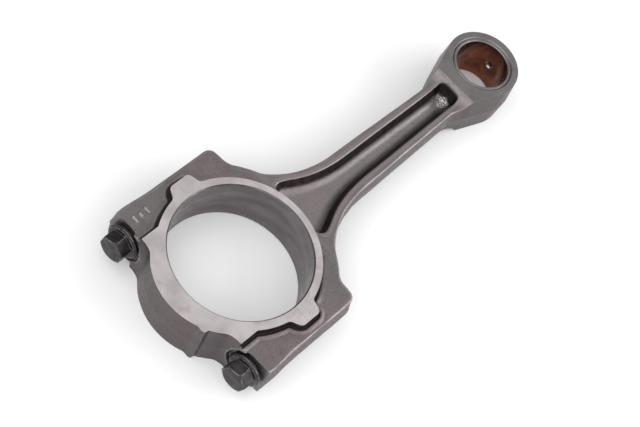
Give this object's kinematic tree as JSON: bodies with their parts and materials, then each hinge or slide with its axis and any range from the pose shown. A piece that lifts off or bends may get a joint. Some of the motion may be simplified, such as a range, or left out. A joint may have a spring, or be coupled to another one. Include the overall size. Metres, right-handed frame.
{
  "type": "connecting rod",
  "caption": "Forged I-section connecting rod with a bolted, fracture-split bearing cap, a bare big-end housing bore and a bushed small end.",
  "frame": {"origin": "middle of the bounding box, on the lower thrust faces", "axes": "+X from the big end to the small end, +Z along both bores, +Y completes the frame and points to bolt_left"},
  "size_m": [0.1934, 0.0792, 0.0215],
  "materials": {
    "forged_steel": "dark satin forging skin with fine-ground thrust faces and bores",
    "bush_bronze": "smooth bored bronze",
    "black_bolt_steel": "blackened and lightly oiled"
  },
  "bodies": {
    "root": {"rod_beam": "forged_steel", "rod_cap": "forged_steel", "small_end_bush": "bush_bronze", "bolt_left": "black_bolt_steel", "bolt_right": "black_bolt_steel"}
  },
  "joints": []
}
